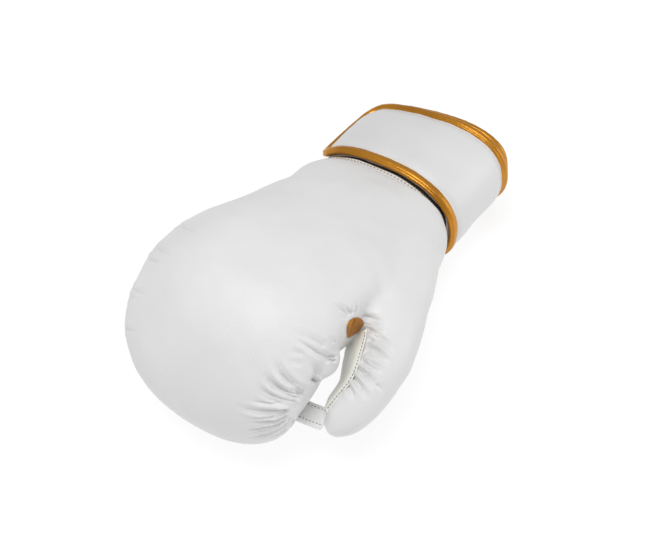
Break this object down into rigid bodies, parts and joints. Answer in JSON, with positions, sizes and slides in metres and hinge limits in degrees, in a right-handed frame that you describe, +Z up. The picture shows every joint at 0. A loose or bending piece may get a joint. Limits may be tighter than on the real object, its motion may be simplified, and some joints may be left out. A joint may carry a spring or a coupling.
{
  "type": "boxing glove",
  "caption": "Padded right-hand boxing glove lying palm down: curled fist, tied thumb, hollow cuff and a wide bound wrist strap.",
  "frame": {"origin": "on the surface that the glove lies on, under the middle of its bounding box", "axes": "+Y from the knuckles to the open cuff, +X towards the thumb, +Z up through the back of the hand"},
  "size_m": [0.1634, 0.2942, 0.1249],
  "materials": {
    "shell_leather": "satin white leather with a fine grain and soft gathers",
    "strap_leather": "smooth satin white leather",
    "panel_leather": "matt off-white leather",
    "gold_leather": "glossy metallic gold leather"
  },
  "bodies": {
    "root": {"hand_shell": "shell_leather", "thumb_shell": "shell_leather", "thumb_inner_panel": "panel_leather", "thumb_gusset": "gold_leather", "thumb_tether": "strap_leather", "cuff": "strap_leather", "cuff_rim_binding": "gold_leather", "wrist_strap": "strap_leather", "strap_binding": "gold_leather"}
  },
  "joints": []
}
